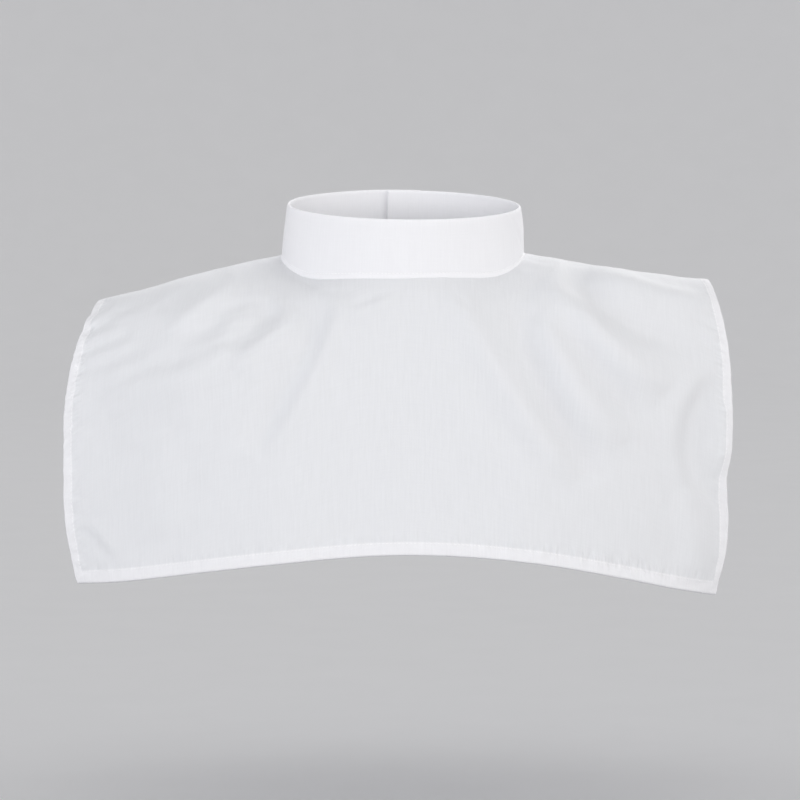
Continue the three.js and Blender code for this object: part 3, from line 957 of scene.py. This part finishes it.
class AMICE_OT_cloth(bpy.types.Operator):
    """Drape the one-piece cloth with its turned hems, neck opening and back slit"""
    bl_idname = "amice.cloth"
    bl_label = "Cloth"

    def execute(self, context):
        settings = context.scene.amice_cloth
        side_hem, bottom_hem = settings.side_hem / MM, settings.bottom_hem / MM
        across_list, along = mesh_lines(settings.step / MM, side_hem, bottom_hem)
        rows = along.shape[1]
        across, along = np.repeat(across_list, rows), along.ravel()

        # The neck opening: whatever lies inside it goes, and its edge is drawn onto the seam's ellipse
        plain = cloth_point(across, along, lift=False)
        share = neck_share(plain, across)
        faces = open_faces(across_list, rows, plain, share)
        used = np.zeros(len(across), dtype=bool)
        used[np.array(faces).ravel()] = True
        drawn_in = np.where(used & (share < 1.0))[0]
        target = plain[drawn_in, :2] / share[drawn_in, None]
        across[drawn_in], along[drawn_in] = unfold(target[:, 0], target[:, 1])

        renumber = np.cumsum(used) - 1
        faces = [[int(renumber[c]) for c in face] for face in faces]
        across, along = across[used], along[used]
        outer = cloth_point(across, along)

        # The cloth is thicker where it is turned under, at its hems and beside the slit
        face_side = np.where(along < 0, -1, 1)
        side_in, hem_in = hem_inset(across, along, face_side)
        doubled = np.maximum(turned_ply(side_hem, side_in), turned_ply(bottom_hem, hem_in))
        beside_slit = (outer[:, 1] > 0) & (outer[:, 2] > SLIT_BOTTOM - SLIT_HEM)
        doubled = np.maximum(doubled, np.where(beside_slit, turned_ply(SLIT_HEM, np.abs(across)), 0.0))
        walls = settings.wall / MM + (settings.hem_wall - settings.wall) / MM * doubled
        verts, shell, rim = closed_shell(outer, faces, walls, point_normals(outer, faces))
        plan = np.stack([across, along], 1) + CLOTH_FLAT_PLACE
        uvs = np.vstack([plan, plan, plan[rim]])

        # The stitching puckers the hems most in front at the wearer's left, and on the shoulders. These
        # weights carry the puckers' bump, and also their painted shade and highlight in the cloth's colour.
        drawn = (0.3 + 0.7 * bell(across - 150, 62)) * np.where(face_side < 0, 1.0, 0.6)
        hem_pucker = drawn * bell(hem_in - 8.5, 5.0)
        drawn = (0.35 + 0.65 * bell(outer[:, 2] + 70, 42)) * np.where(across < 0, 1.0, 0.7)
        side_pucker = drawn * bell(side_in - 7.5, 5.0)
        weights = {"plies": doubled, "hem_pucker": hem_pucker, "side_pucker": side_pucker}
        weights = {name: np.concatenate([values, values, values[rim]]) for name, values in weights.items()}
        piece = put("amice_cloth", verts, shell, uvs, **weights)
        finish_piece(piece, cloth_white(), "cloth", "body_cloth")
        return {"FINISHED"}


def band_points(turn, rise, out):
    """Points of the band: turn goes round from the middle of the back, rise from the seam to the rim."""
    half_width = SEAM_HALF_WIDTH + (RIM_HALF_WIDTH - SEAM_HALF_WIDTH) * rise + out
    half_depth = SEAM_HALF_DEPTH + (RIM_HALF_DEPTH - SEAM_HALF_DEPTH) * rise + out
    x = RIM_SHIFT * rise + half_width * np.sin(turn)
    y = half_depth * np.cos(turn)
    seam = seam_height(turn, out) - SEAM_SINK
    rim = RIM_HEIGHT + RIM_TILT * y + RIM_LEAN * x
    return np.stack([x, y, seam + (rim - seam) * rise], 1)


def lap(turn):
    """How far the lapped end stands out over the other."""
    return LAP_OUT * smooth((turn - LAP_START) / (OVERLAP_RISE / SEAM_HALF_WIDTH) + 1)


def band_unevenness(turn, rise):
    """Soft swells of the interlined band, and a bulge with a slanting dent at the wearer's left."""
    arc, height = turn * SEAM_HALF_WIDTH, rise * BAND_HEIGHT
    swell = sum(depth * wander(arc, height, *patch) for depth, *patch in BAND_SWELLS)
    dent_turn = DENT_TURN + DENT_SLANT * (rise - 0.5)
    dent = DENT_DEPTH * bell((turn - dent_turn) * SEAM_HALF_WIDTH, DENT_WIDTH)
    bulge = BULGE_HEIGHT * bell((turn - BULGE_TURN) * SEAM_HALF_WIDTH, BULGE_WIDTH)
    return swell + dent * bell(rise - DENT_RISE, DENT_REACH) + bulge * bell(rise - BULGE_RISE, BULGE_REACH)


class AMICE_OT_collar(bpy.types.Operator):
    """Build the standing collar band with its seam ridge and lapped ends"""
    bl_idname = "amice.collar"
    bl_label = "Collar band"

    def execute(self, context):
        steps = context.scene.amice_collar.steps
        profile = np.array(BAND_PROFILE)
        sections = len(profile)
        round_off = np.array(END_LINES) / SEAM_HALF_WIDTH
        even = np.linspace(BAND_FIRST, BAND_LAST, steps)[3:-3]
        turns = np.concatenate([BAND_FIRST + round_off, even, BAND_LAST - round_off[::-1]])
        turn = np.repeat(turns, sections)
        rise = np.tile(profile[:, 0], len(turns))
        beside = np.tile(profile[:, 1], len(turns))
        from_end = np.minimum(turn - BAND_FIRST, BAND_LAST - turn) * SEAM_HALF_WIDTH
        pinch = 1 - np.sqrt(clamp01(1 - (1 - clamp01(from_end / END_RADIUS)) ** 2))
        middle = -BAND_WALL / 2
        beside = beside + (middle - beside) * pinch * 0.8
        outer_share = smooth((beside + BAND_WALL) / 0.6)
        uneven = band_unevenness(turn, rise) * (0.55 + 0.45 * outer_share) * smooth(rise / SEAM_CALM)
        verts = band_points(turn, rise, lap(turn) + beside + uneven)
        faces = []
        for i in range(len(turns) - 1):
            for j in range(sections):
                k = (j + 1) % sections
                a, b = i * sections, (i + 1) * sections
                faces.append((a + j, a + k, b + k, b + j))
        last = (len(turns) - 1) * sections
        for j in range(sections // 2 - 1):
            k = sections - 1 - j
            faces.append((j + 1, j, k, k - 1))
            faces.append((last + j, last + j + 1, last + k - 1, last + k))
        flat_x, flat_y = BAND_FLAT_PLACE
        uvs = np.stack([turn * SEAM_HALF_WIDTH + flat_x, rise * BAND_HEIGHT + beside * 0.5 + flat_y], 1)
        plies = 0.62 + 0.38 * np.maximum(smooth((0.09 - rise) / 0.03), smooth((rise - 0.9) / 0.08))
        piece = put("collar_band_folded", verts, faces, uvs, plies=plies)
        finish_piece(piece, band_white(), "collar", "collar_band")
        return {"FINISHED"}


def bead_mesh(sides, rings):
    """A small rounded bar along X, one unit long, wide and high, for one stitch."""
    verts, faces = [(-0.5, 0.0, 0.0)], []
    for r in range(1, rings):
        angle = math.pi * r / rings
        x, radius = -0.5 * math.cos(angle), 0.5 * math.sin(angle) ** 0.6
        for k in range(sides):
            t = 2 * math.pi * k / sides
            verts.append((x, radius * math.cos(t), radius * math.sin(t)))
    verts.append((0.5, 0.0, 0.0))
    for k in range(sides):
        n = (k + 1) % sides
        faces.append((0, 1 + n, 1 + k))
        for r in range(rings - 2):
            a, b = 1 + r * sides, 1 + (r + 1) * sides
            faces.append((a + k, a + n, b + n, b + k))
        tail = 1 + (rings - 2) * sides
        faces.append((tail + k, tail + n, len(verts) - 1))
    return np.array(verts), faces


def stitch_rows(name, places, size, slot):
    """One piece made of stitches, each at a point with a direction and an outward normal."""
    bead, bead_faces = bead_mesh(6, 5)
    length, width, height = size
    verts, faces = [], []
    for point, run, normal in places:
        run = run / np.linalg.norm(run)
        side = np.cross(normal, run)
        side /= np.linalg.norm(side)
        up = np.cross(run, side)
        first = len(verts) * len(bead)
        turned = point + bead[:, :1] * length * run + bead[:, 1:2] * width * side + bead[:, 2:] * height * up
        verts.append(turned)
        faces += [tuple(i + first for i in face) for face in bead_faces]
    piece = put(name, np.vstack(verts), faces)
    return finish_piece(piece, thread_white(), slot)


def surface_frames(across, along, tilt):
    """Points, directions along the row and outward normals of places on the flat cloth."""
    sideways, onward, normal = surface_slopes(cloth_point, across, along, STITCH_SLOPE_STEP)
    return cloth_point(across, along), sideways * tilt[:, :1] + onward * tilt[:, 1:], normal


def hem_row(context):
    """Places of the hem stitches, over the flat cloth, all the way round its rectangle."""
    settings = context.scene.amice_cloth
    pitch = settings.stitch / MM
    side_line = HALF_ACROSS - settings.side_hem / MM + STITCH_INSET
    bottom_line = settings.bottom_hem / MM - STITCH_INSET
    across, along, tilt = [], [], []
    for side in (-1, 1):
        at = np.array([side * side_line])
        front = float(length_at(at, -1)[0]) - bottom_line
        back = float(length_at(at, 1)[0]) - bottom_line
        places = spaced(-front, back, pitch)
        across += [side * side_line] * len(places)
        along += places
        tilt += [(0.0, 1.0)] * len(places)
    places = np.array(spaced(-side_line + pitch, side_line - pitch, pitch))
    for face in (-1, 1):
        across += list(places)
        along += list(face * (length_at(places, face) - bottom_line))
        tilt += [(1.0, 0.0)] * len(places)
    return np.array(across), np.array(along), np.array(tilt)


class AMICE_OT_hem_stitching(bpy.types.Operator):
    """Sew the turned hems and the edges of the back slit, on both faces of the cloth"""
    bl_idname = "amice.hem_stitching"
    bl_label = "Hem stitching"

    def execute(self, context):
        settings = context.scene.amice_cloth
        pitch = settings.stitch / MM
        across, along, tilt = hem_row(context)

        # Down both sides of the slit, and a short bar across its foot
        slit_top = unfold(np.array([0.0]), np.array([SEAM_HALF_DEPTH + 2.0]))[1][0]
        drop = np.arange(slit_top, 260.0, pitch)
        drop = drop[smooth_point(np.zeros_like(drop), drop)[:, 2] > SLIT_BOTTOM - SLIT_HEM]
        for side in (-1, 1):
            across = np.concatenate([across, np.full(len(drop), side * (SLIT_HEM - STITCH_INSET))])
            along = np.concatenate([along, drop])
            tilt = np.vstack([tilt, np.tile((0.0, 1.0), (len(drop), 1))])
        bar = np.linspace(-SLIT_HEM + 1.4, SLIT_HEM - 1.4, 4)
        across = np.concatenate([across, bar])
        along = np.concatenate([along, np.full(4, drop[-1])])
        tilt = np.vstack([tilt, np.tile((1.0, 0.0), (4, 1))])
        point, run, normal = surface_frames(across, along, tilt)
        wall = settings.hem_wall / MM
        places = list(zip(point + normal * HEM_THREAD_LIFT, run, normal))
        places += list(zip(point - normal * (wall + HEM_THREAD_LIFT), run, -normal))
        stitch_rows("hem_stitching", places, (pitch * STITCH_SHARE, *HEM_STITCH), "cloth")
        return {"FINISHED"}


def lapped_points(turn, rise, out):
    """Points of the smooth band, with its lapped end standing out over the other."""
    return band_points(turn, rise, lap(turn) + out)


def band_frames(turn, rise, out):
    """Points, directions round and up the band, and outward normals on one of its faces."""
    turn_step, rise_step = 0.004, 0.02
    uneven = band_unevenness(turn, rise) * smooth(rise / SEAM_CALM)
    point = band_points(turn, rise, lap(turn) + out + uneven)
    run = lapped_points(turn + turn_step, rise, out) - lapped_points(turn - turn_step, rise, out)
    up = lapped_points(turn, rise + rise_step, out) - lapped_points(turn, rise - rise_step, out)
    normal = np.cross(up, run)
    normal /= np.linalg.norm(normal, axis=1)[:, None]
    return point, run, up, normal


class AMICE_OT_collar_stitching(bpy.types.Operator):
    """Sew the collar's seam and its lapped end, and bind the buttonhole"""
    bl_idname = "amice.collar_stitching"
    bl_label = "Collar stitching"

    def execute(self, context):
        settings = context.scene.amice_collar
        pitch = context.scene.amice_cloth.stitch / MM
        line = settings.seam_stitch_height / MM / BAND_HEIGHT
        margin = END_STITCH_INSET / SEAM_HALF_WIDTH
        turns = np.array(spaced(BAND_FIRST + margin, BAND_LAST - margin, pitch / SEAM_HALF_WIDTH))
        places = []
        for out, face in SEAM_STITCH_FACES:
            point, run, _, normal = band_frames(turns, np.full_like(turns, line), out)
            places += list(zip(point, run, normal * face))
        ends = np.array(spaced(line, 0.93, pitch / BAND_HEIGHT))
        for end in (BAND_FIRST + margin, BAND_LAST - margin):
            turn = np.full_like(ends, end)
            point, _, up, normal = band_frames(turn, ends, END_STITCH_OUT)
            places += list(zip(point, up, normal))
        stitch_rows("collar_stitching", places, (pitch * STITCH_SHARE, *COLLAR_STITCH), "collar")

        # The buttonhole: close stitches across both sides of a short slit, with a bar at each end
        length = settings.buttonhole / MM
        places = []
        centre = 2 * math.pi + (2.5 - length / 2) / SEAM_HALF_WIDTH
        steps = np.arange(-length / 2, length / 2 + 0.01, 0.42)
        for lift in (-0.75, 0.75):
            turn = centre + steps / SEAM_HALF_WIDTH
            rise = np.full_like(turn, BUTTON_RISE + lift / BAND_HEIGHT)
            point, _, up, normal = band_frames(turn, rise, BUTTONHOLE_OUT)
            places += list(zip(point, up, normal))
        for end in (-length / 2 - 0.25, length / 2 + 0.25):
            turn = np.full(3, centre + end / SEAM_HALF_WIDTH)
            rise = BUTTON_RISE + np.array([-0.9, 0.0, 0.9]) / BAND_HEIGHT
            point, _, up, normal = band_frames(turn, rise, BUTTONHOLE_BAR_OUT)
            places += list(zip(point, up, normal))
        stitch_rows("buttonhole_stitching", places, BUTTONHOLE_STITCH, "collar")
        return {"FINISHED"}


def button_seat():
    """The button's place on the lapped end, as a matrix whose Z axis points out of the band."""
    turn = np.array([2 * math.pi])
    point, run, _, normal = band_frames(turn, np.array([BUTTON_RISE]), BUTTON_OUT)
    z = Vector(normal[0])
    x = Vector(run[0]).normalized()
    y = z.cross(x).normalized()
    x = y.cross(z).normalized()
    seat = Matrix.Identity(4)
    for row in range(3):
        seat[row][0], seat[row][1], seat[row][2] = x[row], y[row], z[row]
        seat[row][3] = (point[0][row] + normal[0][row] * BUTTON_GAP) * MM
    return seat


def clear_selection():
    if bpy.context.object and bpy.context.object.mode != "OBJECT":
        bpy.ops.object.mode_set(mode="OBJECT")
    bpy.ops.object.select_all(action="DESELECT")


def select_alone(piece):
    """Makes a piece the one that is selected and active."""
    clear_selection()
    piece.select_set(True)
    bpy.context.view_layer.objects.active = piece


def select_faces(piece, test):
    """In edit mode, selects only the faces whose normals pass the test."""
    mesh = bmesh.from_edit_mesh(piece.data)
    for face in mesh.faces:
        face.select_set(bool(test(face.normal)))
    mesh.select_flush_mode()
    bmesh.update_edit_mesh(piece.data)


class AMICE_OT_button(bpy.types.Operator):
    """Turn the four-hole button and sew it on with crossed thread"""
    bl_idname = "amice.button"
    bl_label = "Button"

    def execute(self, context):
        settings = context.scene.amice_button
        radius, wall = settings.radius, settings.wall
        clear_selection()
        bpy.ops.mesh.primitive_cylinder_add(vertices=64, radius=radius, depth=wall, location=(0, 0, wall / 2))
        button = context.object
        button.name = "button"
        bpy.ops.object.transform_apply(location=True, rotation=True, scale=True)
        bpy.ops.object.mode_set(mode="EDIT")
        bpy.ops.mesh.select_mode(type="FACE")
        select_faces(button, lambda normal: normal.z > 0.9)
        bpy.ops.mesh.inset(thickness=radius * 0.2, depth=0)
        bpy.ops.mesh.inset(thickness=radius * 0.1, depth=-wall * 0.3)
        bpy.ops.object.mode_set(mode="OBJECT")

        holes = []
        for side_x, side_y in HOLE_SIDES:
            clear_selection()
            spot = (side_x * HOLE_PLACE, side_y * HOLE_PLACE, wall / 2)
            bpy.ops.mesh.primitive_cylinder_add(
                vertices=20, radius=HOLE_RADIUS, depth=wall * 3, location=spot)
            holes.append(context.object)
        select_alone(button)
        for hole in holes:
            cut = button.modifiers.new("hole", "BOOLEAN")
            cut.operation, cut.object, cut.solver = "DIFFERENCE", hole, "EXACT"
            bpy.ops.object.modifier_apply(modifier=cut.name)
            bpy.data.objects.remove(hole)
        soften = button.modifiers.new("soften", "BEVEL")
        soften.width, soften.segments, soften.limit_method = 0.00022, 3, "ANGLE"
        soften.angle_limit = math.radians(28)
        bpy.ops.object.modifier_apply(modifier=soften.name)
        bpy.ops.object.shade_smooth_by_angle(angle=math.radians(35))
        seat = button_seat()
        button.data.transform(seat)
        finish_piece(button, material_of("cast_polyester_button", cast_polyester), "button", "collar_button")

        # Two crossing bars of four threads each
        places = []
        z = wall * 0.7 / MM
        for start, end in THREAD_BARS:
            a, b = np.array([*start, z]), np.array([*end, z])
            run = b - a
            beside = np.array([-run[1], run[0], 0]) / np.linalg.norm(run[:2])
            for shift in THREAD_SHIFTS:
                middle = (a + b) / 2 + beside * shift + np.array([0, 0, 0.22 - 0.1 * abs(shift)])
                places.append((middle, run, np.array([0.0, 0.0, 1.0])))
        tie = stitch_rows("button_thread", places, BUTTON_THREAD, "button")
        tie.data.transform(seat)
        tie.data.update()
        return {"FINISHED"}


class AMICE_OT_stage(bpy.types.Operator):
    """Set the pale floor and backdrop, the soft light and the camera at the photograph's angle"""
    bl_idname = "amice.stage"
    bl_label = "Stage"

    def execute(self, context):
        scene = context.scene
        profile = [(radius, FLOOR_Z) for radius in FLOOR_RADII]
        reach = FLOOR_RADII[-1]
        for k in range(1, SWEEP_STEPS + 1):
            angle = math.pi / 2 * k / SWEEP_STEPS
            rise = SWEEP_RADIUS * (1 - math.cos(angle))
            profile.append((reach + SWEEP_RADIUS * math.sin(angle), FLOOR_Z + rise))
        profile.append((reach + SWEEP_RADIUS, SWEEP_TOP))
        verts, faces = [(0.0, 0.0, FLOOR_Z / MM)], []
        for r, z in profile:
            for k in range(STAGE_TURNS):
                angle = 2 * math.pi * k / STAGE_TURNS
                verts.append((r / MM * math.cos(angle), r / MM * math.sin(angle), z / MM))
        for k in range(STAGE_TURNS):
            n = (k + 1) % STAGE_TURNS
            faces.append((0, 1 + k, 1 + n))
            for ring in range(len(profile) - 1):
                a, b = 1 + ring * STAGE_TURNS, 1 + (ring + 1) * STAGE_TURNS
                faces.append((a + k, b + k, b + n, a + n))
        stage = put("studio_sweep", verts, faces)
        stage.data.materials.append(painted_stage(scene.amice_finish.stage))

        # The softboxes light the garment alone, so that the stage keeps one even tone from every side
        unlit = bpy.data.collections.new("stage_only")
        unlit.objects.link(stage)
        unlit.collection_objects[0].light_linking.link_state = "EXCLUDE"

        for name, place, size, power, tint in SOFTBOXES:
            light = bpy.data.lights.new(name, "AREA")
            light.shape, light.size, light.size_y = "RECTANGLE", size[0], size[1]
            light.energy = power
            light.color = linear(tint)
            holder = bpy.data.objects.new(name, light)
            holder.location = place
            holder.rotation_euler = (Vector(LIGHT_AIM) - Vector(place)).to_track_quat("-Z", "Y").to_euler()
            holder.visible_camera = False
            holder.light_linking.receiver_collection = unlit
            scene.collection.objects.link(holder)

        world = bpy.data.worlds.new("studio_air")
        world.use_nodes = True
        tree = world.node_tree
        tree.nodes.clear()
        air = add_node(tree, "ShaderNodeBackground", {"Color": (*linear("#eeeeef"), 1), "Strength": 0.75})
        add_node(tree, "ShaderNodeOutputWorld", None, {"Surface": air.outputs[0]})
        scene.world = world

        distance, rise = CAMERA_DISTANCE * MM, math.radians(CAMERA_RISE)
        aim = Vector(AIM) * MM
        camera = bpy.data.cameras.new("photo_camera")
        camera.sensor_width = SENSOR_WIDTH
        camera.lens = distance / (MM_PER_PIXEL * MM) * SENSOR_WIDTH / PICTURE_WIDTH
        holder = bpy.data.objects.new("photo_camera", camera)
        holder.location = aim + Vector((0, -math.cos(rise), math.sin(rise))) * distance
        holder.rotation_euler = (aim - holder.location).to_track_quat("-Z", "Y").to_euler()
        scene.collection.objects.link(holder)
        scene.camera = holder
        scene.view_settings.view_transform = "Standard"
        return {"FINISHED"}


class AMICE_PT_panel(bpy.types.Panel):
    """Lists the pieces of the amice and what can be changed on them"""
    bl_label = "Collared amice"
    bl_idname = "AMICE_PT_panel"
    bl_space_type = "VIEW_3D"
    bl_region_type = "UI"
    bl_category = "Amice"

    def draw(self, context):
        for group, operators in PANEL_ROWS:
            box = self.layout.box()
            settings = getattr(context.scene, group)
            for name in settings.__annotations__:
                box.prop(settings, name)
            for operator in operators:
                box.operator(operator.bl_idname)


PANEL_ROWS = (
    ("amice_cloth", (AMICE_OT_cloth, AMICE_OT_hem_stitching)),
    ("amice_collar", (AMICE_OT_collar, AMICE_OT_collar_stitching)),
    ("amice_button", (AMICE_OT_button,)),
    ("amice_finish", (AMICE_OT_stage,)),
)
GROUPS = {
    "amice_cloth": AmiceCloth,
    "amice_collar": AmiceCollar,
    "amice_button": AmiceButton,
    "amice_finish": AmiceFinish,
}
CLASSES = (
    *GROUPS.values(), AMICE_OT_cloth, AMICE_OT_hem_stitching, AMICE_OT_collar, AMICE_OT_collar_stitching,
    AMICE_OT_button, AMICE_OT_stage, AMICE_PT_panel,
)


def register():
    for cls in CLASSES:
        bpy.utils.register_class(cls)
    for name, group in GROUPS.items():
        setattr(bpy.types.Scene, name, PointerProperty(type=group))


def unregister():
    for name in GROUPS:
        delattr(bpy.types.Scene, name)
    for cls in reversed(CLASSES):
        bpy.utils.unregister_class(cls)


def main():
    register()
    bpy.ops.amice.stage()
    bpy.ops.amice.cloth()
    bpy.ops.amice.hem_stitching()
    bpy.ops.amice.collar()
    bpy.ops.amice.collar_stitching()
    bpy.ops.amice.button()


if __name__ == "__main__":
    main()
